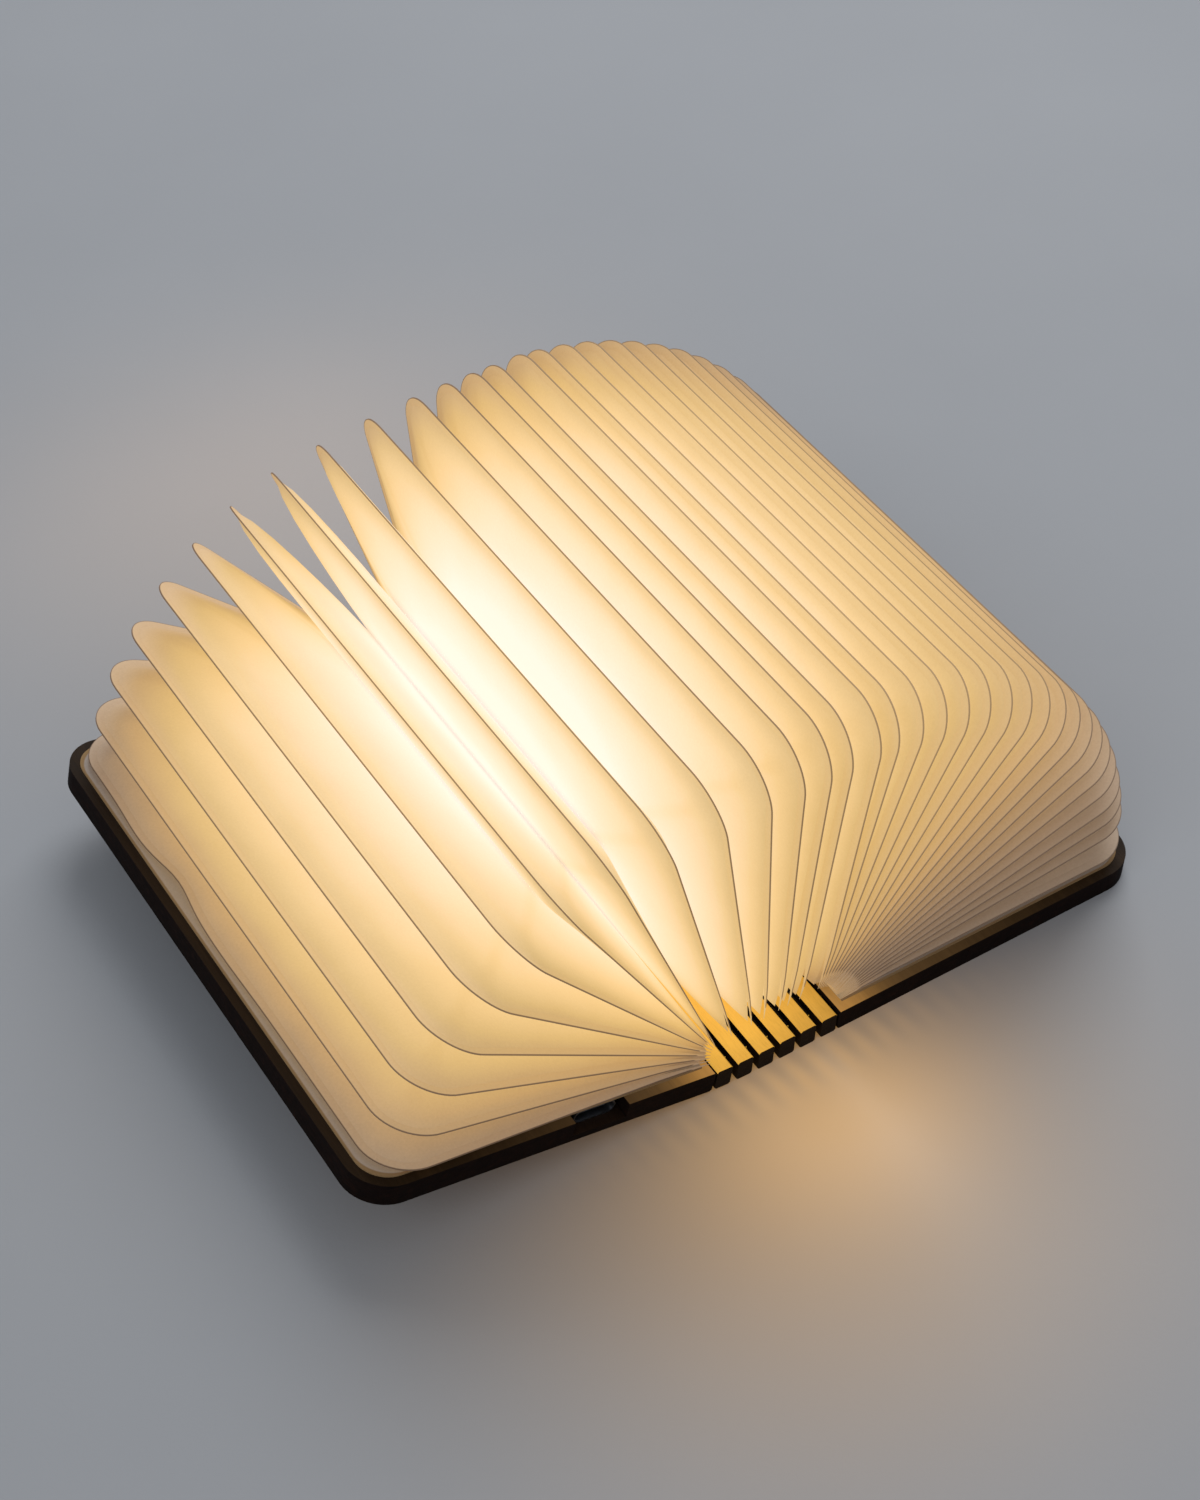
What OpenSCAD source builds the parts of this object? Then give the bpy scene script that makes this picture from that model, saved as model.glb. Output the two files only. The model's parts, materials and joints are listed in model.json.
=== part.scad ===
// Folding book lamp: two wooden covers, a spine of six slats and a fan of 33 paper pages
// X runs across the open book, Y along the spine, Z up. The right cover lies flat, the left one is raised.

/* [Book] */
// Length of the book along its spine
book_l = 122; // [100:1:160]
// Width of each cover from its spine edge to its fore edge
cover_w = 73; // [64:1:90]
// Rise of the left cover above the surface, in degrees
left_rise = 12; // [6:1:20]

/* [Covers] */
// Thickness of the outer panel of each cover
panel_t = 1.4; // [1:0.1:2.4]
// Thickness of the frame on the inner side of each cover
frame_t = 3.3; // [3.2:0.1:5]
// Radius of the two fore-edge corners
corner_r = 8; // [3:0.5:14]
// Thickness of the card that lines the inside of a cover
liner_t = 0.3; // [0.2:0.05:0.6]
// Border of bare wood left round the lining card
liner_inset = 2; // [1:0.25:4]

/* [Spine] */
// Width of each slat across the spine
slat_w = 3.4; // [2.8:0.1:4.5]
// Gap between two slats
slat_gap = 1.3; // [1:0.1:2]
// Gap between the end slats and the covers
end_gap = 0.5; // [0.4:0.1:1.2]
// Bevel on the long edges of the slats and on the spine edges of the covers
edge_ease = 0.35; // [0.2:0.05:0.6]
// Thickness of the cloth that hinges the slats
cloth_t = 0.3; // [0.2:0.05:0.5]
// Clearance round the cloth in the wood
cloth_play = 0.1; // [0.05:0.05:0.2]
// How far the cloth reaches into each cover
cloth_grip = 5; // [3:0.5:8]
// Distance from the end of the cloth to the end of the slats
cloth_end = 4; // [2:0.5:10]

/* [Pages] */
// Thickness of the glued seam round a page
page_t = 0.2; // [0.15:0.05:0.25]
// Width of the glued seam
seam_w = 2.2; // [1.5:0.1:3]
// Distance from the page's fore edge to the cover's fore edge
fore_margin = 2.5; // [2:0.5:8]
// Distance from the page's top corner to the end of the book
corner_margin = 0.5; // [0.3:0.1:4]
// Distance from the page's lower edge to the end of the book
low_margin = 2.2; // [1:0.1:6]
// Distance from the page's root to the end of the book
root_margin = 7.5; // [5:0.5:12]
// Radius of the page's corners
page_r = 9.2; // [5:0.2:14]
// Start of the seam above the line where the pages meet the spine
seam_start = 4; // [3:0.25:8]
// Distance between the roots of stacked pages
root_step = 0.33; // [0.3:0.01:0.4]
// Gap between the right lining card and the page on it
right_clear = 0.2; // [0.15:0.05:0.5]
// Gap between the left lining card and the page on it
left_clear = 0.25; // [0.2:0.05:0.5]
// Offset of the right-hand roots from the edge of the right cover
right_in = 1; // [0:0.1:2]
// Distance that the left-hand roots reach past the edge of the left cover
left_out = 0.6; // [0:0.1:1]
// Length of the slope in the page's lower edge, from its root
knee = 12; // [8:0.5:16]

/* [Pleats] */
// Depth of the fold between two pages
fold_depth = 7; // [4:0.5:9]
// Thickness of the folded paper
paper_t = 0.12; // [0.1:0.01:0.16]
// Clearance between a fold and the seams beside it
fold_clear = 0.1; // [0.08:0.01:0.15]
// Start of the folds above the line where the pages meet the spine
fold_start = 10; // [9:0.5:16]

/* [Battery and board] */
// Width of the border of the battery bay
bay_border = 8; // [5:0.5:12]
// Battery length along the book
battery_l = 50; // [30:1:56]
// Battery width
battery_w = 34; // [20:1:40]
// Battery thickness
battery_t = 2.8; // [2:0.1:3]
// Board length along the book
board_l = 24; // [16:1:30]
// Board width
board_w = 20; // [14:1:26]
// Board thickness
board_t = 0.8; // [0.6:0.1:1.2]
// Width of the charging notch in the edge of the left cover
notch_w = 11.5; // [10:0.5:14]
// Middle of the charging notch from the spine edge
notch_pos = 25; // [18:0.5:34]
// Charging socket width
socket_w = 8.9; // [7.5:0.1:9.4]
// Charging socket height
socket_h = 3.1; // [2.4:0.1:3.1]
// Charging socket length
socket_l = 7.3; // [5:0.1:9]
// Depth of the socket's mouth behind the edge of the cover
socket_back = 2.2; // [1:0.1:4]
// Wall of the socket's shell
socket_wall = 0.3; // [0.2:0.05:0.4]
// Height of the socket's tongue
tongue_t = 0.7; // [0.5:0.1:1]

/* [Light] */
// Light board length along the spine
light_l = 64; // [40:1:90]
// Light board width
light_w = 8; // [6:0.5:12]
// Light board thickness
light_t = 0.8; // [0.5:0.1:1.2]
// Distance from the spine edge of the left cover to the light board
light_pos = 5; // [3:0.5:9]
// Number of light-emitting diodes
led_n = 6; // [3:1:10]
// Size of each diode
led_w = 2.8; // [2:0.1:3.4]
// Height of each diode
led_h = 0.9; // [0.6:0.1:1.6]
// Diameter of the insulated leads
lead_d = 1; // [0.6:0.1:1.4]

/* [Magnets and sensor] */
// Magnet diameter
magnet_d = 6; // [4:0.5:8]
// Magnet thickness
magnet_t = 2; // [1.5:0.25:3]
// Middle of a magnet from the fore edge and the end of the cover
magnet_pos = 12; // [10:0.5:20]
// Clearance round a magnet
magnet_play = 0.1; // [0.05:0.05:0.2]
// Length of the opening sensor
sensor_l = 4; // [3:0.5:6]
// Width of the opening sensor
sensor_w = 3; // [2:0.5:5]
// Height of the opening sensor
sensor_h = 1.5; // [1:0.1:2]

/* [Hidden] */

cover_t = panel_t + frame_t;
slats = 6;
pages = 33;
// Share of the left cover's rise taken at each hinge, from the right cover to the left one
rise_share = [0, 0, 0, 1 / 12, 1.5 / 12, 3.5 / 12, 6 / 12];
spine_w = slats * slat_w + (slats - 1) * slat_gap + 2 * end_gap;
gaps = [end_gap, slat_gap, slat_gap, slat_gap, slat_gap, slat_gap, end_gap];

// Directions in the section: along(a) points away from the spine, over(a) is square to it
function along(a) = [-cos(a), sin(a)];
function over(a) = [sin(a), cos(a)];
// Right edge of the piece that follows hinge k, in the middle of its thickness, and its angle
function frame_at(k) = k < 0 ? [spine_w / 2 + slat_w, cover_t / 2, 0] :
  let (f = frame_at(k - 1), s = [f[0], f[1]] + slat_w * along(f[2]), a = f[2] + left_rise * rise_share[k],
    h = s + gaps[k] / 2 * along(f[2]), p = h + gaps[k] / 2 * along(a)) [p[0], p[1], a];
frames = [for (k = [0:slats]) frame_at(k)];
left = frames[slats];

// Origin at the middle of the lamp's width
x_min = left[0] - cover_w * cos(left[2]) - cover_t / 2 * sin(left[2]);
x_max = spine_w / 2 + cover_w;
x_mid = (x_min + x_max) / 2;

// Angle of the pages from the left, over the top: page number and degrees, evenly spread between
fan = [[1, left_rise + 1], [2, 20.2], [8, 68.5], [10, 79.5], [11, 85.3], [13, 91.7], [15, 94.8],
  [16, 98], [20, 115.5], [30, 162.4], [32, 170], [pages, 176.5]];
function angle(i) = lookup(i, fan);
// Pages stacked beside each cover, and the spread of the roots between the two stacks
left_stack = 8;
right_stack = 15;
spread = [3.0, 3.5, 2.2, 2.7, 1.6, 2.2, 3.4];
function sum_to(v, n) = n <= 0 ? 0 : v[n - 1] + sum_to(v, n - 1);
function right_root(i) = i == pages ?
  [spine_w / 2 + right_in, cover_t + liner_t + right_clear] :
  right_root(i + 1) - root_step * over((angle(i) + angle(i + 1)) / 2);
function left_root(i) = i == 1 ?
  [left[0], left[1]] + (cover_t / 2 + liner_t + left_clear) * over(left[2]) - left_out * along(left[2]) :
  left_root(i - 1) + root_step * over((angle(i - 1) + angle(i)) / 2);
last_left = left_root(left_stack);
first_right = right_root(right_stack);
function root(i) = i <= left_stack ? left_root(i) : i >= right_stack ? right_root(i) :
  last_left + (first_right - last_left) * sum_to(spread, i - left_stack) / sum_to(spread, len(spread));
roots = [for (i = [0:pages]) i == 0 ? [0, 0] : root(i)];
angles = [for (i = [0:pages]) i == 0 ? 0 : angle(i)];

// Page outline, as distance from the root and half length, with a knee near the root
reach = cover_w - fore_margin;
half_top = book_l / 2 - corner_margin;
half_low = book_l / 2 - low_margin;
half_root = book_l / 2 - root_margin;
arc_steps = 4;
function half_at(r) = lookup(r, [[0, half_root], [knee * 0.5, (half_root + 2 * half_low) / 3],
  [knee, half_low], [reach - page_r, half_top]]);
// Points from the root end of the near arm round to the fore edge, moved inwards by d
function arm(start, d) = concat(
  [for (r = [start, (seam_start + knee) / 2, knee, (reach + knee) / 2]) if (r == start || r > start + 1)
    [r, half_at(r) - d]],
  [for (k = [0:arc_steps]) let (a = 90 - 90 * k / arc_steps, c = max(page_r, d + 0.4))
    [reach - c + (c - d) * cos(a), half_top - c + (c - d) * sin(a)]]);
function flip(v) = [for (i = [len(v) - 1:-1:0]) [v[i][0], -v[i][1]]];
function outline(start, d) = concat(arm(start, d), flip(arm(start, d)));
function backwards(v) = [for (i = [len(v) - 1:-1:0]) v[i]];

paper = [1.0, 0.86, 0.62];
wood = [0.13, 0.08, 0.05];
wood_in = [0.42, 0.34, 0.22];
metal = [0.72, 0.72, 0.74];

// Puts a piece drawn from its right edge, with X away from the spine, on hinge frame f
module at_frame(f) translate([f[0] - x_mid, 0, f[1]]) rotate([0, f[2], 0]) mirror([1, 0, 0]) children();
module at_left() at_frame(left) translate([0, 0, -cover_t / 2]) children();
module at_right() translate([spine_w / 2 - x_mid, 0, 0]) children();

module cover_plan(inset = 0, spine_inset = 0) {
  w = cover_w - inset;
  h = book_l / 2 - inset;
  r = corner_r - min(inset, corner_r / 2);
  translate([spine_inset, -h]) square([w - r - spine_inset, 2 * h]);
  translate([spine_inset, -h + r]) square([w - spine_inset, 2 * h - 2 * r]);
  for (s = [-1, 1]) translate([w - r, s * (h - r)]) circle(r, $fn = 64);
}

// Wedge that bevels a long edge running along Y at [0, z], on the side given by sx and sz
module bevel(z, sz) translate([0, book_l / 2 + 1, z]) rotate([90, 0, 0])
  linear_extrude(book_l + 2) polygon([[-1, 0.5 * sz], [-1, -(edge_ease + 1) * sz], [0, -edge_ease * sz],
    [edge_ease, 0], [edge_ease + 0.5, 0.5 * sz]]);

module panel() difference() {
  linear_extrude(panel_t) cover_plan();
  bevel(0, -1);
}

module cloth_slot(depth) translate([-1, -book_l / 2 + cloth_end - cloth_play, cover_t / 2 - cloth_t / 2 - cloth_play])
  cube([depth + 1 + cloth_play, book_l - 2 * cloth_end + 2 * cloth_play, cloth_t + 2 * cloth_play]);

module magnet_places() for (s = [-1, 1]) translate([cover_w - magnet_pos, s * (book_l / 2 - magnet_pos), panel_t])
  children();

module frame_blank() difference() {
  translate([0, 0, panel_t]) linear_extrude(frame_t) cover_plan();
  bevel(cover_t, 1);
  cloth_slot(cloth_grip);
  magnet_places() translate([0, 0, -1]) cylinder(h = magnet_t + magnet_play + 1, d = magnet_d + 2 * magnet_play, $fn = 48);
}

module magnets() magnet_places() cylinder(h = magnet_t, d = magnet_d, $fn = 48);

module liner() translate([0, 0, cover_t]) linear_extrude(liner_t) cover_plan(liner_inset, liner_inset);

// Bay for the battery and the board in the left cover, and the notch that opens it at the near end
bay_x = bay_border + cloth_grip - 4;
bay_w = cover_w - bay_x - bay_border - magnet_pos;
bay_h = book_l - 2 * bay_border;
battery_x = bay_x + 2 * lead_d + (bay_w - 2 * lead_d - battery_w) / 2;
battery_y = bay_h / 2 - battery_l - 3;
board_y = -bay_h / 2 + 0.5;
socket_y = -book_l / 2 + socket_back;
socket_z = panel_t + (frame_t - socket_h) / 2;
light_x = light_pos;
lead_x = light_x + light_w - 1.5;

module right_outer_panel() color(wood) at_right() panel();
module left_outer_panel() color(wood) at_left() panel();
module right_inner_frame() color(wood_in) at_right() frame_blank();
module left_inner_frame() color(wood_in) at_left() difference() {
  frame_blank();
  translate([bay_x, -bay_h / 2, panel_t - 1]) cube([bay_w, bay_h, frame_t + 2]);
  translate([notch_pos - notch_w / 2, -book_l / 2 - 1, panel_t - 1]) cube([notch_w, bay_border + 2, frame_t + 2]);
}
module right_liner() color(paper) at_right() liner();
module left_liner() color(paper) at_left() difference() {
  liner();
  for (s = [-1, 1]) translate([bay_x + lead_d, s * lead_d * 1.5, cover_t - 1])
    cylinder(h = liner_t + 2, d = lead_d + 0.4, $fn = 24);
}
module right_magnets() color(metal) at_right() magnets();
module left_magnets() color(metal) at_left() magnets();

// A slat: a bevelled bar with a slot at mid-height for the cloth
module slat(k) color(wood) at_frame(frames[k]) difference() {
  translate([0, book_l / 2, 0]) rotate([90, 0, 0]) linear_extrude(book_l) {
    x = slat_w;
    z = cover_t / 2;
    c = edge_ease;
    polygon([[c, -z], [x - c, -z], [x, -z + c], [x, z - c], [x - c, z], [c, z], [0, z - c], [0, -z + c]]);
  }
  translate([0, 0, -cover_t / 2]) cloth_slot(slat_w + 1);
}
module slat_f() slat(0);
module slat_e() slat(1);
module slat_d() slat(2);
module slat_c() slat(3);
module slat_b() slat(4);
module slat_a() slat(5);

// The cloth runs through the slats at mid-height, from one cover into the other
cloth_path = concat([[spine_w / 2 + cloth_grip, cover_t / 2, 0], [spine_w / 2 - end_gap / 2, cover_t / 2, 0]],
  [for (k = [1:slats]) let (f = frames[k]) [f[0] + gaps[k] / 2 * cos(f[2]), f[1] - gaps[k] / 2 * sin(f[2]),
    (frames[k - 1][2] + f[2]) / 2]],
  [[left[0] - cloth_grip * cos(left[2]), left[1] + cloth_grip * sin(left[2]), left[2]]]);
module spine_cloth() color([0.2, 0.17, 0.15]) translate([-x_mid, book_l / 2 - cloth_end, 0]) rotate([90, 0, 0])
  linear_extrude(book_l - 2 * cloth_end) polygon(concat(
    [for (p = cloth_path) [p[0], p[1]] + cloth_t / 2 * over(p[2])],
    backwards([for (p = cloth_path) [p[0], p[1]] - cloth_t / 2 * over(p[2])])));

module battery() color("silver") at_left() translate([battery_x, battery_y, panel_t])
  cube([battery_w, battery_l, battery_t]);
// Two leads from the battery's near end to the board
module battery_leads() color("firebrick") at_left() for (s = [-1, 1])
  translate([notch_pos + s * lead_d * 1.5, board_y + board_l, panel_t + board_t / 2 + lead_d / 2]) rotate([-90, 0, 0])
    cylinder(h = battery_y - board_y - board_l, d = lead_d, $fn = 24);
module charging_board() color("darkgreen") at_left() difference() {
  translate([notch_pos - board_w / 2, board_y, panel_t]) cube([board_w, board_l, board_t]);
  translate([notch_pos - socket_w / 2 - 0.1, board_y - 1, panel_t - 1])
    cube([socket_w + 0.2, socket_y + socket_l - board_y + 1.1, board_t + 2]);
}
// Oval shell, open at the near end, with a tongue inside
module socket_plan(d) union() {
  r = socket_h / 2;
  square([socket_w - socket_h, socket_h - 2 * d], center = true);
  for (s = [-1, 1]) translate([s * (socket_w / 2 - r), 0]) circle(r - d, $fn = 32);
}
module charging_socket() color(metal) at_left() translate([notch_pos, socket_y, socket_z + socket_h / 2])
  rotate([-90, 0, 0]) {
    difference() {
      linear_extrude(socket_l) socket_plan(0);
      translate([0, 0, -1]) linear_extrude(socket_l) socket_plan(socket_wall);
    }
    translate([-socket_w / 3, -tongue_t / 2, 1]) cube([socket_w / 1.5, tongue_t, socket_l - 1.5]);
  }
module opening_sensor() color([0.1, 0.1, 0.1]) at_left()
  translate([notch_pos + board_w / 2 - sensor_w - 1, board_y + board_l - sensor_l - 1, panel_t + board_t])
    cube([sensor_w, sensor_l, sensor_h]);

module light_board() color("white") at_left() translate([light_x, -light_l / 2, cover_t + liner_t])
  cube([light_w, light_l, light_t]);
module leds() color([1, 0.95, 0.75]) at_left() for (k = [0:led_n - 1])
  translate([light_x + light_w / 2 - led_w / 2, light_l * ((k + 0.5) / led_n - 0.5) - led_w / 2,
    cover_t + liner_t + light_t]) cube([led_w, led_w, led_h]);
// Two leads that rise from the bay through the liner to the light board's edge
module light_leads() color("firebrick") at_left() for (s = [-1, 1])
  translate([bay_x + lead_d, s * lead_d * 1.5, panel_t]) cylinder(h = frame_t + liner_t, d = lead_d, $fn = 24);

// A page: the seam that joins two sheets round three sides
module page(i) color(paper) translate([roots[i][0] - x_mid, 0, roots[i][1]]) rotate([0, angles[i], 0])
  mirror([1, 0, 0]) translate([0, 0, -page_t / 2]) linear_extrude(page_t)
    polygon(concat(outline(seam_start, 0), backwards(outline(seam_start, seam_w))));
module page_01() page(1);
module page_02() page(2);
module page_03() page(3);
module page_04() page(4);
module page_05() page(5);
module page_06() page(6);
module page_07() page(7);
module page_08() page(8);
module page_09() page(9);
module page_10() page(10);
module page_11() page(11);
module page_12() page(12);
module page_13() page(13);
module page_14() page(14);
module page_15() page(15);
module page_16() page(16);
module page_17() page(17);
module page_18() page(18);
module page_19() page(19);
module page_20() page(20);
module page_21() page(21);
module page_22() page(22);
module page_23() page(23);
module page_24() page(24);
module page_25() page(25);
module page_26() page(26);
module page_27() page(27);
module page_28() page(28);
module page_29() page(29);
module page_30() page(30);
module page_31() page(31);
module page_32() page(32);
module page_33() page(33);

// A fold between pages i and i + 1: paper in a V that follows the outline of the seams
function spot(i, p, n) = let (q = roots[i] + p[0] * along(angles[i]) + n * over(angles[i]))
  [q[0] - x_mid, p[1], q[1]];
near = page_t / 2 + fold_clear;
fold_edge = outline(fold_start, seam_w / 2);
fold_out = outline(fold_start, fold_depth);
fold_in = outline(fold_start, fold_depth + 8 * paper_t);
rings = len(fold_edge);
function ring(i, k) = [
  spot(i, fold_edge[k], near + paper_t),
  (spot(i, fold_out[k], 0) + spot(i + 1, fold_out[k], 0)) / 2,
  spot(i + 1, fold_edge[k], -near - paper_t),
  spot(i + 1, fold_edge[k], -near),
  (spot(i, fold_in[k], 0) + spot(i + 1, fold_in[k], 0)) / 2,
  spot(i, fold_edge[k], near)];
module fold(i) polyhedron(
  points = [for (k = [0:rings - 1]) each ring(i, k)],
  faces = concat(
    [[5, 1, 0], [5, 4, 1], [4, 2, 1], [4, 3, 2]],
    [for (k = [0:rings - 2], j = [0:5]) let (a = 6 * k + j, b = 6 * k + (j + 1) % 6) each
      (j == 3 || j == 4 ? [[a, b, a + 6], [b, b + 6, a + 6]] : [[a, b, b + 6], [a, b + 6, a + 6]])],
    let (e = 6 * (rings - 1)) [[e, e + 1, e + 5], [e + 1, e + 4, e + 5], [e + 1, e + 2, e + 4],
      [e + 2, e + 3, e + 4]]));
module paper_pleats() color(paper) for (i = [1:pages - 1]) fold(i);

right_outer_panel();
right_inner_frame();
right_liner();
left_outer_panel();
left_inner_frame();
left_liner();
slat_a();
slat_b();
slat_c();
slat_d();
slat_e();
slat_f();
spine_cloth();
battery();
battery_leads();
charging_board();
charging_socket();
opening_sensor();
light_board();
leds();
light_leads();
left_magnets();
right_magnets();
page_01();
page_02();
page_03();
page_04();
page_05();
page_06();
page_07();
page_08();
page_09();
page_10();
page_11();
page_12();
page_13();
page_14();
page_15();
page_16();
page_17();
page_18();
page_19();
page_20();
page_21();
page_22();
page_23();
page_24();
page_25();
page_26();
page_27();
page_28();
page_29();
page_30();
page_31();
page_32();
page_33();
paper_pleats();
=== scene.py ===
import json
import math

import bmesh
import bpy
import numpy as np
from mathutils import Matrix, Vector


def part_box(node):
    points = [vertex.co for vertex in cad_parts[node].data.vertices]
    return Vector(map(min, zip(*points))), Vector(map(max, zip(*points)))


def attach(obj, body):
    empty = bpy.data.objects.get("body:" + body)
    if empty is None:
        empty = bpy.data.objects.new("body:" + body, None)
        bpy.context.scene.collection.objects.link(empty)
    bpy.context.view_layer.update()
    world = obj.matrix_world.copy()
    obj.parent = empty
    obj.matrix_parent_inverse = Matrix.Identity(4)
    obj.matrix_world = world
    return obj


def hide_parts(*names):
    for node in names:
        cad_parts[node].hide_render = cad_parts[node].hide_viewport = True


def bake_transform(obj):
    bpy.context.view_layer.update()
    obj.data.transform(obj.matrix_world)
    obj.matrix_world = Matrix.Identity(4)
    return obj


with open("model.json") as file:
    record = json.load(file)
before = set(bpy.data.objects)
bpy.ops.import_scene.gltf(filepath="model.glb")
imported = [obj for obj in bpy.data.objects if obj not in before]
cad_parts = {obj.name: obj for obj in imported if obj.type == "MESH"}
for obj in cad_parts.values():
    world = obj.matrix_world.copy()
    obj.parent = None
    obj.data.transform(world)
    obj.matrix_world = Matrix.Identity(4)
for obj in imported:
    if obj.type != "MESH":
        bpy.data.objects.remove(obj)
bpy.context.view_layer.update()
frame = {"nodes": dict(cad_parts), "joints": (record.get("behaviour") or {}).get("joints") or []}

# The view: a portrait frame from the near left, about 46 degrees above the table, 56 cm away.
# The lens is a short telephoto without shift, held a degree and a half off level.
view = bpy.data.objects.new("view", bpy.data.cameras.new("view"))
bpy.context.scene.collection.objects.link(view)
view.data.sensor_fit = "VERTICAL"
view.data.sensor_height = 36
view.data.lens = 65.696
view_right = Vector((0.84243, -0.53847, 0.01892))
view_up = Vector((0.37573, 0.61228, 0.69566))
view_place = (-0.20036, -0.29960, 0.39980)
view_axes = Matrix((view_right, view_up, view_right.cross(view_up))).transposed()
view.matrix_world = Matrix.Translation(view_place) @ view_axes.to_4x4()
view.data.clip_start = 0.01
bpy.context.scene.camera = view
bpy.context.scene.view_settings.view_transform = "Standard"


# The table: a plain matt sheet of cool pale laminate under the lamp, with nothing else on it.
# Its colour is a little uneven, as a wiped surface is. Warm pools of light, streaked by the slots between the
# slats, are painted on it where light leaves the near end of the spine, and a fainter one behind the fan.
class Value:
    """A number inside a material. Arithmetic on it adds Math nodes."""

    def __init__(self, finish, socket):
        self.finish, self.socket = finish, socket

    def math(self, operation, *others):
        sockets = [o.socket if isinstance(o, Value) else o for o in (self, *others)]
        node = self.finish.add("ShaderNodeMath", {"operation": operation}, sockets)
        return Value(self.finish, node.outputs[0])

    def turned(self, operation, other):
        node = self.finish.add("ShaderNodeMath", {"operation": operation}, [other, self.socket])
        return Value(self.finish, node.outputs[0])

    def __add__(self, other): return self.math("ADD", other)
    __radd__ = __add__
    def __sub__(self, other): return self.math("SUBTRACT", other)
    def __rsub__(self, other): return self.turned("SUBTRACT", other)
    def __mul__(self, other): return self.math("MULTIPLY", other)
    __rmul__ = __mul__
    def __truediv__(self, other): return self.math("DIVIDE", other)
    def __rtruediv__(self, other): return self.turned("DIVIDE", other)
    def __pow__(self, other): return self.math("POWER", other)
    def __abs__(self): return self.math("ABSOLUTE")
    def __neg__(self): return self.math("MULTIPLY", -1.0)
    def above(self, other): return self.math("MAXIMUM", other)

    def ease(self, low, high):
        """0 below low, 1 above high, smooth between them."""
        node = self.finish.add(
            "ShaderNodeMapRange", {"interpolation_type": "SMOOTHSTEP"}, [self.socket, low, high, 0.0, 1.0])
        return Value(self.finish, node.outputs[0])


def linear(r, g, b):
    """A screen colour from 0 to 255 as the values that light adds up in."""
    shares = [c / 255 for c in (r, g, b)]
    return tuple((s / 12.92 if s < 0.0405 else ((s + 0.055) / 1.055) ** 2.4) for s in shares) + (1.0,)


class Finish:
    """A material under construction, with one Principled shader."""

    def __init__(self, name, roughness, specular=0.5):
        self.material = bpy.data.materials.new(name)
        self.material.use_nodes = True
        self.tree = self.material.node_tree
        self.shader = self.tree.nodes["Principled BSDF"]
        self.shader.inputs["Roughness"].default_value = roughness
        self.shader.inputs["Specular IOR Level"].default_value = specular

    def add(self, kind, settings=None, inputs=None):
        node = self.tree.nodes.new(kind)
        for key, value in (settings or {}).items():
            setattr(node, key, value)
        pairs = inputs.items() if isinstance(inputs, dict) else enumerate(inputs or [])
        for key, value in pairs:
            if value is None:
                continue
            value = value.socket if isinstance(value, Value) else value
            if isinstance(value, bpy.types.NodeSocket):
                self.tree.links.new(value, node.inputs[key])
            else:
                node.inputs[key].default_value = value
        return node

    def where(self):
        """The place on the piece in metres, as x, y, z."""
        node = self.add("ShaderNodeTexCoord")
        split = self.add("ShaderNodeSeparateXYZ", None, [node.outputs["Object"]])
        return [Value(self, split.outputs[k]) for k in range(3)]

    def facing(self):
        """The direction that the surface faces on the piece itself, as x, y, z."""
        split = self.add("ShaderNodeSeparateXYZ", None, [self.add("ShaderNodeTexCoord").outputs["Normal"]])
        return [Value(self, split.outputs[k]) for k in range(3)]

    def noise(self, scale, detail=3.0, rough=0.55, stretch=(1, 1, 1)):
        """Uneven pattern from 0 to 1. scale is in patches per metre, stretch lengthens the patches."""
        coords = self.add("ShaderNodeTexCoord").outputs["Object"]
        mapped = self.add("ShaderNodeMapping", None, {
            "Vector": coords, "Scale": tuple(1 / s for s in stretch)})
        node = self.add("ShaderNodeTexNoise", None, {
            "Vector": mapped.outputs[0], "Scale": scale, "Detail": detail, "Roughness": rough})
        return Value(self, node.outputs["Fac"])

    def attribute(self, name):
        """A number that the mesh holds at each of its points."""
        return Value(self, self.add("ShaderNodeAttribute", {"attribute_name": name}).outputs["Fac"])

    def ramp(self, value, stops):
        """A colour that follows value along a row of stops."""
        node = self.add("ShaderNodeValToRGB", None, [value])
        marks = node.color_ramp.elements
        while len(marks) < len(stops):
            marks.new(0.5)
        for mark, (place, colour) in zip(marks, stops):
            mark.position, mark.color = place, colour
        return node.outputs["Color"]

    def grey(self, value, stops):
        """A number that follows value along a row of stops."""
        return Value(self, self.ramp(value, [(place, (level, level, level, 1)) for place, level in stops]))

    def blend(self, share, first, second):
        """The first colour where share is 0, the second where it is 1."""
        node = self.add("ShaderNodeMix", {"data_type": "RGBA"}, {0: share, 6: first, 7: second})
        return node.outputs[2]

    def colour(self, socket):
        self.link(socket, "Base Color")
        return self

    def link(self, value, name):
        value = value.socket if isinstance(value, Value) else value
        if isinstance(value, bpy.types.NodeSocket):
            self.tree.links.new(value, self.shader.inputs[name])
        else:
            self.shader.inputs[name].default_value = value
        return self

    def relief(self, height, depth):
        """Bump of the given depth in metres."""
        node = self.add("ShaderNodeBump", None, {"Strength": 1.0, "Distance": depth, "Height": height})
        self.tree.links.new(node.outputs[0], self.shader.inputs["Normal"])
        return self

    def glow(self, colour, strength):
        self.link(colour, "Emission Color")
        self.shader.inputs["Emission Strength"].default_value = strength
        return self


table_finish = Finish("table_laminate", 0.55, 0.25)
x, y, _ = table_finish.where()
mottle = table_finish.noise(9, 4)
plain_top = table_finish.blend(mottle, linear(142, 145, 150), linear(150, 153, 158))


def pool(at_x, at_y, wide, long):
    """A soft painted pool of light on the table, 1 at its middle."""
    return (((x - at_x) / wide) ** 2.0 + ((y - at_y) / long) ** 2.0).math("MULTIPLY", -1.0).math("EXPONENT")


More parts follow.
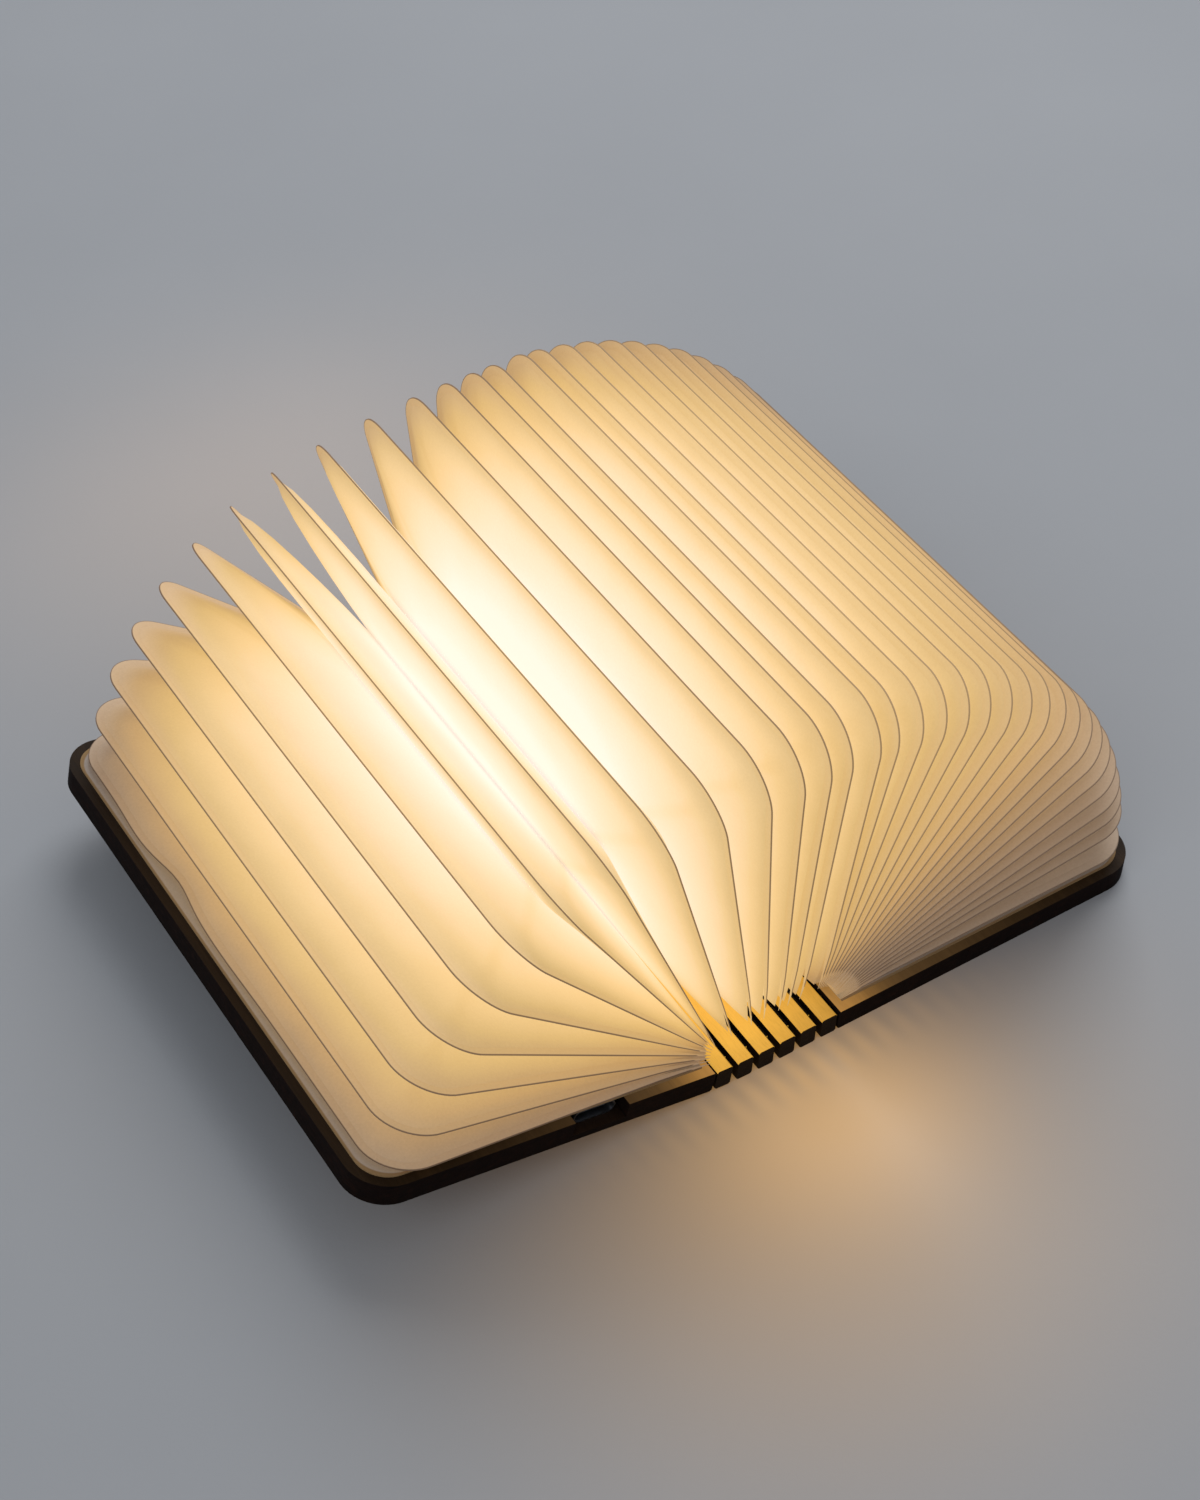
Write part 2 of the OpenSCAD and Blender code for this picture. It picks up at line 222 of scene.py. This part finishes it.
black = (0.0, 0.0, 0.0, 1.0)
slat_pitch, near_y = 0.0047, -0.061  # metres from slat to slat, and the place of the book's near end
streak_lean, streak_start, streak_reach = 0.12, 0.76, 0.009
waves = ((x + (y - near_y) * streak_lean) * (2 * math.pi / slat_pitch) + streak_start).math("SINE")
light_streaks = 1.0 + 0.22 * waves * (1.0 - abs(y - near_y + 0.003).ease(0.0, streak_reach))
near_light_pool = pool(0.001, -0.079, 0.026, 0.021) * light_streaks
wide_light_pool = pool(-0.012, -0.094, 0.052, 0.046)
far_light_pool = pool(-0.004, 0.132, 0.068, 0.048)
# Painted light: the pools tint the table warm and glow on it, with streaks from the slots between the slats.
table_finish.colour(table_finish.blend(near_light_pool.above(wide_light_pool) * 0.45, plain_top, linear(147, 132, 108)))
cast_light = table_finish.blend(far_light_pool, black, (0.105, 0.062, 0.028, 1))
cast_light = table_finish.blend(wide_light_pool, cast_light, (0.135, 0.064, 0.012, 1))
cast_light = table_finish.blend(near_light_pool, cast_light, (0.39, 0.205, 0.050, 1))
table_finish.glow(cast_light, 1.0)
table_finish.relief(table_finish.noise(900, 2), 0.00002)
bm = bmesh.new()
bmesh.ops.create_grid(bm, x_segments=1, y_segments=1, size=3.0)
mesh = bpy.data.meshes.new("table")
bm.to_mesh(mesh)
table = bpy.data.objects.new("table", mesh)
bpy.context.scene.collection.objects.link(table)
table.data.materials.append(table_finish.material)


# The light: two broad soft boxes, one high behind the right-hand side and one weaker at the left,
# under an even pale ceiling. Together they show a colour about as it is.
def soft_box(name, place, target, size, power):
    lamp = bpy.data.lights.new(name, "AREA")
    lamp.shape, lamp.size, lamp.size_y, lamp.energy = "RECTANGLE", size, size, power
    holder = bpy.data.objects.new(name, lamp)
    bpy.context.scene.collection.objects.link(holder)
    turn = (Vector(place) - Vector(target)).to_track_quat("Z", "Y")
    holder.matrix_world = Matrix.Translation(place) @ turn.to_matrix().to_4x4()


lamp_middle = (0, 0, 0.03)
soft_box("high_box", (0.55, 0.5, 1.0), lamp_middle, 0.8, 9.0)
soft_box("side_box", (-0.9, -0.4, 0.8), lamp_middle, 0.8, 3.2)
world = bpy.data.worlds.new("studio")
bpy.context.scene.world = world
world.use_nodes = True
nodes, links = world.node_tree.nodes, world.node_tree.links
even, seen = nodes["Background"], nodes.new("ShaderNodeBackground")
even.inputs["Color"].default_value = (0.93, 0.96, 1.0, 1.0)
even.inputs["Strength"].default_value = 0.42
seen.inputs["Color"].default_value = linear(206, 210, 216)
rays, mixed = nodes.new("ShaderNodeLightPath"), nodes.new("ShaderNodeMixShader")
either = nodes.new("ShaderNodeMath")
either.operation = "MAXIMUM"
links.new(rays.outputs["Is Camera Ray"], either.inputs[0])
links.new(rays.outputs["Is Glossy Ray"], either.inputs[1])
links.new(either.outputs[0], mixed.inputs[0])
links.new(even.outputs[0], mixed.inputs[1])
links.new(seen.outputs[0], mixed.inputs[2])
links.new(mixed.outputs[0], nodes["World Output"].inputs[0])


# The covers: each is a thin outer panel under a thicker inner frame, both laser-cut from dark stained board
# and glued. The cut edges are charred, and the narrow rim round the lining keeps the paler stain.
mm = 0.001
rise = math.radians(12)
cover_faces = {"right": (0.0, 0.0, 1.0), "left": (math.sin(rise), 0.0, math.cos(rise))}


def dress(node_name, finish):
    """Gives a CAD node its finish."""
    node = frame["nodes"][node_name]
    node.data.materials.clear()
    node.data.materials.append(finish.material)


def board_finish(name, up, stained, charred, spill=None):
    """Stained board with charred cut edges, in three tones each. up is the direction that its broad faces
    look along, and spill is the place across the spine where light is painted on its near end, with its width."""
    finish = Finish(name, 0.62, 0.06)
    nx, _, nz = finish.facing()
    broad = abs(nx * up[0] + nz * up[2]).ease(0.75, 0.93)
    grain = finish.noise(900, 5, 0.65, (1, 14, 1))
    pores = finish.noise(3800, 2, 0.5, (1, 9, 1)).ease(0.52, 0.7)
    bands = finish.noise(240, 4, 0.6, (1, 20, 1))
    face = finish.ramp(grain * 0.5 + bands * 0.5, list(zip((0.3, 0.52, 0.75), stained)))
    face = finish.blend(pores * 0.45, face, linear(38, 26, 17))
    plies = finish.noise(2600, 3, 0.5, (9, 9, 0.35))
    edge = finish.ramp(plies * 0.6 + finish.noise(700, 3) * 0.4, list(zip((0.32, 0.55, 0.80), charred)))
    finish.colour(finish.blend(broad, edge, face))
    finish.link(0.78 - 0.26 * broad + 0.15 * (grain - 0.5), "Roughness")
    finish.relief(grain * 0.6 + pores * -0.5 + plies * 0.4, 0.00006)
    if spill:
        # Painted light: a warm glow on the broad faces at the near end, where light spills out of the fan.
        x, y, _ = finish.where()
        near_end = (1.0 - (y - near_y).ease(0.0, 20 * mm)) * broad * (0.7 + 0.5 * grain)
        close = (((x - spill[0]) / spill[1]) ** 2.0 * -1.0).math("EXPONENT") * near_end
        wide = (((x - spill[0]) / (spill[1] * 4.5)) ** 2.0 * -1.0).math("EXPONENT") * near_end
        painted_spill_glow = finish.blend(wide, black, (0.085, 0.046, 0.017, 1))
        finish.glow(finish.blend(close, painted_spill_glow, (0.42, 0.205, 0.05, 1)), 1.0)
    return finish


stain = [linear(25, 17, 10), linear(38, 27, 16), linear(54, 40, 25)]
dark_stain = [linear(22, 14, 9), linear(32, 21, 14), linear(46, 31, 21)]
char = [linear(6, 3, 3), linear(19, 9, 6), linear(40, 19, 12)]
dark_char = [linear(5, 3, 2), linear(17, 8, 5), linear(40, 19, 12)]
spills = {"right": (13 * mm, 8 * mm), "left": (-14 * mm, 7 * mm)}
for side in ("right", "left"):
    up = cover_faces[side]
    panel_board = board_finish(side + "_panel_board", up, dark_stain, dark_char)
    frame_board = board_finish(side + "_frame_board", up, stain, char, spills[side])
    dress(side + "_outer_panel", panel_board)
    dress(side + "_inner_frame", frame_board)


# The light itself: six diodes on a white board beside the spine, inside the fan. Their light fills the fan
# and shows through its paper, painted on it as a glow: most at mid-length above the spine, less round each end
# and near both covers.
wall = 26 * mm  # how far each sheet of the fan runs inwards from its outline


def light_level(finish, depth):
    """How much light shows through at a place, 0 to about 1. depth is how far it lies inside the outline."""
    x, y, z = finish.where()
    height = z - 4 * mm
    angle = height.math("ARCTAN2", -x) / math.pi
    round_spine = finish.grey(angle, [
        (0.00, 0.10), (0.065, 0.30), (0.11, 0.55), (0.155, 0.70), (0.245, 0.86), (0.33, 0.96), (0.41, 1.0),
        (0.48, 0.92), (0.60, 0.91), (0.69, 0.81), (0.755, 0.66), (0.81, 0.46), (0.90, 0.26), (1.00, 0.12)])
    along_spine = finish.grey(y / (130 * mm) + 0.5, [
        (0.0, 0.70), (0.12, 0.82), (0.25, 0.92), (0.38, 0.99), (0.55, 1.0),
        (0.69, 0.94), (0.77, 0.84), (0.85, 0.69), (0.92, 0.54), (1.0, 0.44)])
    # Painted shade: less light shows near the outline and the glued seams, and more deep inside the folds.
    if isinstance(depth, Value):
        depth = finish.grey(depth / wall, [
            (0.0, 0.60), (0.04, 0.67), (0.09, 0.77), (0.16, 0.86), (0.25, 0.92),
            (0.40, 0.98), (0.60, 1.05), (0.85, 1.13)])
    # The close rows of roots at the right let more light out.
    from_roots = ((x - 9 * mm) / (15 * mm)) ** 2.0 + (height / (13 * mm)) ** 2.0
    root_glow = (from_roots * -1.0).math("EXPONENT")
    return round_spine.above(0.56 * root_glow) * along_spine * depth


# Painted glow: the colour of the lamp's light through paper and card, from dark to hot white.
painted_glow_colours = [
    (0.00, (0.010, 0.008, 0.008, 1)), (0.12, (0.130, 0.082, 0.044, 1)), (0.28, (0.345, 0.212, 0.074, 1)),
    (0.44, (0.490, 0.335, 0.118, 1)), (0.60, (0.625, 0.450, 0.205, 1)), (0.76, (0.700, 0.550, 0.355, 1)),
    (0.88, (0.730, 0.610, 0.470, 1)), (1.00, (0.755, 0.685, 0.610, 1))]

glowing_board = Finish("light_board_mask", 0.4, 0.5)
glowing_board.colour(glowing_board.blend(glowing_board.noise(600, 3), linear(236, 234, 226), linear(246, 244, 238)))
glowing_board.relief(glowing_board.noise(2500, 2), 0.00002)
# Painted light: the white board glows warm with the diodes' light.
glowing_board.glow((1.0, 0.86, 0.58, 1), 0.8)
dress("light_board", glowing_board)

diode = Finish("diode_phosphor", 0.25, 0.5)
diode.colour(diode.blend(diode.noise(4000, 2), linear(255, 226, 140), linear(255, 236, 170)))
diode.glow((1.0, 0.9, 0.66, 1), 3.0)
dress("leds", diode)


# The slats: six bars of the same board with eased edges. Their inner faces lie under the fan, and the
# light that escapes at its two ends is painted on them as a golden colour and glow; the cut ends and sides are
# charred.
slat_finish = Finish("slat_board", 0.55, 0.07)
x, y, _ = slat_finish.where()
inside = slat_finish.facing()[2].ease(0.5, 0.72)
grain = slat_finish.noise(2300, 5, 0.6, (1, 9, 1))
pores = slat_finish.noise(4200, 2, 0.5, (1, 8, 1)).ease(0.5, 0.68)
burnt = slat_finish.ramp(slat_finish.noise(900, 4, 0.6, (1, 1, 0.4)), [
    (0.3, linear(7, 4, 3)), (0.55, linear(19, 11, 7)), (0.8, linear(40, 24, 14))])
# Painted light: the inner faces are coloured golden by the light from the fan, and glow less towards the right.
painted_golden_light = slat_finish.ramp(grain, [
    (0.3, linear(166, 120, 54)), (0.55, linear(174, 128, 59)), (0.8, linear(181, 136, 65))])
painted_golden_light = slat_finish.blend(pores * 0.22, painted_golden_light, linear(100, 68, 30))
slat_finish.colour(slat_finish.blend(inside, burnt, painted_golden_light))
to_the_right = 1.0 - (x + 4 * mm).above(0.0) / (45 * mm)
to_the_end = 0.8 + 0.2 * (y - near_y).ease(0.0, 6 * mm)
painted_spill_share = inside * to_the_right * (0.92 + 0.07 * grain) * to_the_end
slat_finish.glow(slat_finish.blend(painted_spill_share, black, (0.64, 0.365, 0.052, 1)), 1.0)
slat_finish.relief(grain * 0.6 - pores * 0.4, 0.00004)
for letter in "abcdef":
    dress("slat_" + letter, slat_finish)


# The lining: a pale card glued inside each cover. The fan hides most of it; the strip that shows has the
# lamp's light painted on it as a soft grey white glow, warmer towards the spine, inside a thin tan line that is
# its cut edge.
def node_points(name):
    """The corners of a CAD node at rest, as rows of x, y, z."""
    flat = np.zeros(len(frame["nodes"][name].data.vertices) * 3, np.float32)
    frame["nodes"][name].data.vertices.foreach_get("co", flat)
    return flat.reshape(-1, 3).astype(float)


turn_r = 7 * mm  # radius of the card's corners
for side, (along_x, along_z) in (("right", (1.0, 0.0)), ("left", (-math.cos(rise), math.sin(rise)))):
    corners = node_points(side + "_liner")
    far_x, far_y = (corners[:, 0] * along_x + corners[:, 2] * along_z).max(), corners[:, 1].max()
    lining = Finish(side + "_lining_card", 0.8, 0.2)
    x, y, z = lining.where()
    over_x = (x * along_x + z * along_z - (far_x - turn_r)).above(0.0)
    over_y = (abs(y) - (far_y - turn_r)).above(0.0)
    from_rim = turn_r - (over_x * over_x + over_y * over_y).math("SQRT")
    inner = from_rim.ease(0.25 * mm, 0.55 * mm)
    fibre = lining.noise(2600, 4, 0.6)
    card = lining.blend(fibre, linear(132, 129, 128), linear(150, 146, 144))
    lining.colour(lining.blend(inner, linear(134, 108, 72), card))
    # Painted light: the lamp's glow on the card, dimmer on the tan cut edge.
    level = (light_level(lining, 0.7) + 0.06 * (fibre - 0.5)) * (0.3 + 0.7 * inner)
    lining.glow(lining.ramp(level, painted_glow_colours), 0.6)
    lining.relief(fibre, 0.00003)
    dress(side + "_liner", lining)


# The spine cloth: one strip of dark woven tape glued in slots along the covers and slats. It bends in the
# open lines between them, so it is made as a short length for each line.
def new_piece(name, bm, finish):
    """The bmesh as an object at the origin, smooth shaded, with one material."""
    mesh = bpy.data.meshes.new(name)
    bm.to_mesh(mesh)
    bm.free()
    piece = bpy.data.objects.new(name, mesh)
    bpy.context.scene.collection.objects.link(piece)
    mesh.materials.append(finish.material)
    for face in mesh.polygons:
        face.use_smooth = True
    return piece


tape = Finish("spine_tape", 0.85, 0.15)
x, y, _ = tape.where()
thread_pitch = 0.3927 * mm
warp, weft = ((v * (2 * math.pi / thread_pitch)).math("SINE") * 0.5 + 0.5 for v in (x, y))
weave = warp * weft
tape.colour(tape.blend(weave * 0.6 + tape.noise(1200, 3) * 0.4, linear(28, 24, 21), linear(62, 52, 42)))
tape.relief(weave, 0.00005)
hinges = [j for j in frame["joints"] if j["name"].startswith("spine_hinge")]
cloth_low, cloth_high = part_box("spine_cloth")
places = [Vector(j["pos_m"]) for j in hinges]
tape_reach, tape_thick, bend = 2.1 * mm, 0.24 * mm, 0.7 * mm
for k, joint in enumerate(hinges):
    before = (places[k - 1] - places[k]) if k else (places[0] - places[1])
    after = (places[k + 1] - places[k]) if k < 6 else (places[6] - places[5])
    bm = bmesh.new()
    bmesh.ops.create_grid(bm, x_segments=8, y_segments=24, size=0.5)
    for v in bm.verts:
        share, length = v.co.x * 2, v.co.y + 0.5
        step = (before if share < 0 else after).normalized() * (tape_reach * abs(share))
        v.co = places[k] + step + Vector((0, cloth_low.y + length * (cloth_high.y - cloth_low.y), 0))
    bmesh.ops.recalc_face_normals(bm, faces=bm.faces)
    bmesh.ops.solidify(bm, geom=bm.faces[:], thickness=tape_thick)
    bmesh.ops.translate(bm, vec=(0, 0, tape_thick / 2), verts=bm.verts)
    length_of_tape = new_piece("tape_%d" % (k + 1), bm, tape)
    places[k] + before.normalized() * bend
    places[k] + after.normalized() * bend
    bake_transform(length_of_tape)
    if k == 0:
        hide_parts("spine_cloth")


# The pages: each is two sheets of paper glued together round three sides. The glued seam is a narrow flat
# band whose cut edge is painted with shade as a fine grey-brown line. Its two arms run out to points on the
# slats and covers.
# A page reaches from its root to its fore edge, slopes outwards up to the knee, and has round corners of page_r.
# Its half length is half_low above the knee and half_top at the fore edge. The CAD seam starts at seam_low.
reach, knee, page_r, seam_low, rim_start = 70.5 * mm, 12.0 * mm, 9.2 * mm, 4.0 * mm, 0.8 * mm
half_top, half_low, seam_band, seam_thick = 60.5 * mm, 58.8 * mm, 2.2 * mm, 0.25 * mm
arm_end, corner_end = 0.5, 0.68  # shares of the way from a page's root round to the middle of its fore edge
page_names = ["page_%02d" % n for n in range(1, 34)]


def page_plane(name):
    """Root and direction of a page in the section across the spine, from its CAD seam."""
    section = node_points(name)[:, [0, 2]]
    middle = section.mean(0)
    along = np.linalg.svd(section - middle, full_matrices=False)[2][0]
    away = along * np.sign(along @ (middle - np.array([0, 5 * mm])))
    return middle + away * (((section - middle) @ away).min() - seam_low), away


planes = {name: page_plane(name) for name in page_names}


def half_length(number, rho):
    """Half length of a page at a distance from its root. The outer pages are a little longer at the root."""
    root = np.interp(number, [1, 5, 8, 22, 26, 33], [59.0, 57.8, 57.3, 57.4, 58.8, 58.8]) * mm
    low = max(half_low, root)
    along, across = [0, knee / 2, knee, reach - page_r], [root, (root + 2 * low) / 3, low, half_top]
    return float(np.interp(rho, along, across))


def on_page(name, place, depth):
    """A point of a page, depth inside its outline. place runs from 0 at the near root to 1 at the far one."""
    (root, away), number = planes[name], int(name[-2:])
    side = -1 if place < 0.5 else 1
    place = 1 - abs(2 * place - 1)
    radius = max(page_r, depth + 2.5 * mm)
    if place < arm_end:
        share = place / arm_end
        rho = rim_start + (reach - radius - rim_start) * share
        across = side * (half_length(number, rim_start + (reach - page_r - rim_start) * share) - depth)
    elif place < corner_end:
        turn = (place - arm_end) / (corner_end - arm_end) * math.pi / 2
        rho = reach - radius + (radius - depth) * math.sin(turn)
        across = side * (half_top - radius + (radius - depth) * math.cos(turn))
    else:
        rho, across = reach - depth, side * (half_top - radius) * (1 - place) / (1 - corner_end)
    lift = 0.0
    if number == 1 and place >= arm_end:
        # Place along the fore edge, width and size of the ripples.
        waves = ((17 * mm, 7 * mm, 1.0), (31 * mm, 8 * mm, -0.5), (-2 * mm, 12 * mm, -0.3))
        ripple = sum(size * math.exp(-((across - middle) / wide) ** 2) for middle, wide, size in waves)
        ripple *= 1 - depth / wall
        rho, lift = rho - 0.9 * mm * ripple, 0.5 * mm * ripple
    point = root + away * rho + np.array([away[1], -away[0]]) * lift
    return np.array([point[0], across, point[1]])


seam_finish = Finish("glued_seam", 0.75, 0.2)
# Painted shade: a fine grey-brown line along the cut edge, in colour and as a dimmer glow, fainter on the right.
edge_shade_mask = seam_finish.attribute("inset").ease(0.02 * mm, 0.22 * mm)
right_hand = seam_finish.where()[0].ease(-5 * mm, 30 * mm)
fibre = seam_finish.noise(2200, 4, 0.6)
level = light_level(seam_finish, 0.60) + 0.04 * (fibre - 0.5)
sheet = seam_finish.blend(fibre, linear(158, 142, 127), linear(172, 157, 141))
seam_finish.colour(seam_finish.blend(edge_shade_mask.above(right_hand * 0.3), linear(86, 70, 61), sheet))
seam_finish.glow(seam_finish.ramp(level * edge_shade_mask.above(0.42 + 0.12 * right_hand), painted_glow_colours), 1.0)
seam_finish.relief(fibre, 0.00003)
for name in page_names:
    bm = bmesh.new()
    layer = bm.verts.layers.float.new("inset")
    away = planes[name][1]
    normal = np.array([away[1], 0, -away[0]])
    for v in bmesh.ops.create_grid(bm, x_segments=150, y_segments=4, size=0.5)["verts"]:
        place, corner = v.co.x + 0.5, round((v.co.y + 0.5) * 4) % 4
        from_root = min(place, 1 - place)
        width = seam_band * min(1.0, 12 * from_root) if corner in (2, 3) else 0.0
        half = seam_thick / 2 * min(1.0, 0.4 + 5 * from_root)
        v.co = on_page(name, place, width) + normal * (half if corner in (0, 3) else -half)
        v[layer] = max(width, seam_band * (1 - 65 * from_root))
    bmesh.ops.remove_doubles(bm, verts=bm.verts, dist=0.001 * mm)
    bmesh.ops.recalc_face_normals(bm, faces=bm.faces)
    page = new_piece("seam_" + name[-2:], bm, seam_finish)
    page.data.shade_flat()
    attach(page, name)
    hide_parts(name)


# The paper between the pages: each sheet leaves one glued seam, runs some 26 mm inwards as a flat wall, is
# joined there to its neighbour in a deep V and comes back to the next seam, round all three sides.
paper = Finish("folded_paper", 0.8, 0.2)
depth_in = paper.attribute("inset")
fibre = paper.noise(2200, 4, 0.6)
cloudy = paper.noise(90, 3, 0.5)
uneven = cloudy - 0.5
level = light_level(paper, depth_in + 0.8 * mm * uneven) + 0.04 * (fibre - 0.5) + 0.05 * uneven
paper.colour(paper.blend(fibre, linear(158, 142, 127), linear(172, 157, 141)))
paper.glow(paper.ramp(level, painted_glow_colours), 1.0)
paper.relief(fibre * 0.7 + cloudy * 0.3, 0.00004)
lip = 1.2 * mm  # how far inside the outline the fold leaves its seams


def fold_between(first, second, low, high, name, stations, both_arms):
    """Paper from page first to page second over the outline places from low to high. Where both_arms is set,
    the same places at the far end have it too."""
    bm = bmesh.new()
    layer = bm.verts.layers.float.new("inset")
    spans = [(low, high), (1 - high, 1 - low)] if both_arms else [(low, high)]
    for begin, end in spans:
        grid = bmesh.ops.create_grid(bm, x_segments=stations, y_segments=12, size=0.5)["verts"]
        for v in grid:
            place = begin + (v.co.x + 0.5) * (end - begin)
            t = v.co.y + 0.5
            inwards = 1 - abs(2 * t - 1)
            depth = lip + (wall - lip) * inwards ** 1.1
            share = 0.5 * inwards ** 0.8 if t < 0.5 else 1 - 0.5 * inwards ** 0.8
            v.co = on_page(first, place, depth) * (1 - share) + on_page(second, place, depth) * share
            # Less light reaches the corners, as if they lay nearer to the outline.
            near_corner = math.exp(-((abs(2 * place - 1) - 0.41) / 0.13) ** 2)
            v[layer] = (depth - lip) * (1 - 0.55 * near_corner)
    bmesh.ops.recalc_face_normals(bm, faces=bm.faces)
    return new_piece(name, bm, paper)


# The zones overlap a little, so that no slit opens between them. The last value of each is a distance from
# the roots.
zones = (("lower", 0.0, 0.145, 11, True, 30 * mm), ("upper", 0.112, 0.888, 76, False, 64 * mm))
for first, second in zip(page_names, page_names[1:]):
    for zone, low, high, stations, both, rho in zones:
        name = "fold_%s_%s_%s" % (first[-2:], second[-2:], zone)
        fold = fold_between(first, second, low, high, name, stations, both)
        a = planes[first][0] + planes[first][1] * rho
        b = planes[second][0] + planes[second][1] * rho
        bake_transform(fold)
        if first == "page_01" and both:
            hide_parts("paper_pleats")


# The pieces inside the left cover: a pouch cell with two leads, the charging board with its metal socket in
# the notch, the sensor that lights the lamp when it opens, and two leads up to the diodes.
pouch = Finish("cell_foil", 0.35, 0.5)
crinkle = pouch.noise(500, 4, 0.7)
pouch.colour(pouch.blend(crinkle, linear(176, 178, 184), linear(206, 208, 212)))
pouch.link(1.0, "Metallic")
pouch.link(0.3 + 0.25 * crinkle, "Roughness")
pouch.relief(crinkle, 0.0001)
dress("battery", pouch)

wire = Finish("lead_insulation", 0.45, 0.5)
wire.colour(wire.blend(wire.noise(800, 2), linear(140, 22, 20), linear(172, 34, 28)))
dress("battery_leads", wire)
dress("light_leads", wire)

circuit = Finish("circuit_mask", 0.4, 0.5)
tracks = (circuit.where()[0] * 2600.0).math("SINE").ease(0.7, 0.9)  # a track each 2.4 mm
circuit.colour(circuit.blend(tracks * 0.6, linear(18, 74, 44), linear(38, 116, 66)))
circuit.relief(tracks, 0.00003)
dress("charging_board", circuit)

shell = Finish("socket_shell", 0.3, 0.5)
drawn = shell.noise(3000, 2, 0.5, (1, 12, 1))
shell.colour(shell.blend(drawn, linear(104, 106, 112), linear(138, 140, 144)))
shell.link(1.0, "Metallic")
shell.link(0.26 + 0.2 * drawn, "Roughness")
dress("charging_socket", shell)

moulded = Finish("sensor_case", 0.55, 0.4)
moulded.colour(moulded.blend(moulded.noise(2500, 3), linear(26, 26, 27), linear(40, 40, 42)))
dress("opening_sensor", moulded)

plated = Finish("magnet_plating", 0.2, 0.5)
rubbed = plated.noise(1500, 4)
plated.colour(plated.blend(rubbed, linear(178, 180, 184), linear(214, 216, 218)))
plated.link(1.0, "Metallic")
plated.link(0.15 + 0.2 * rubbed, "Roughness")
dress("left_magnets", plated)
dress("right_magnets", plated)
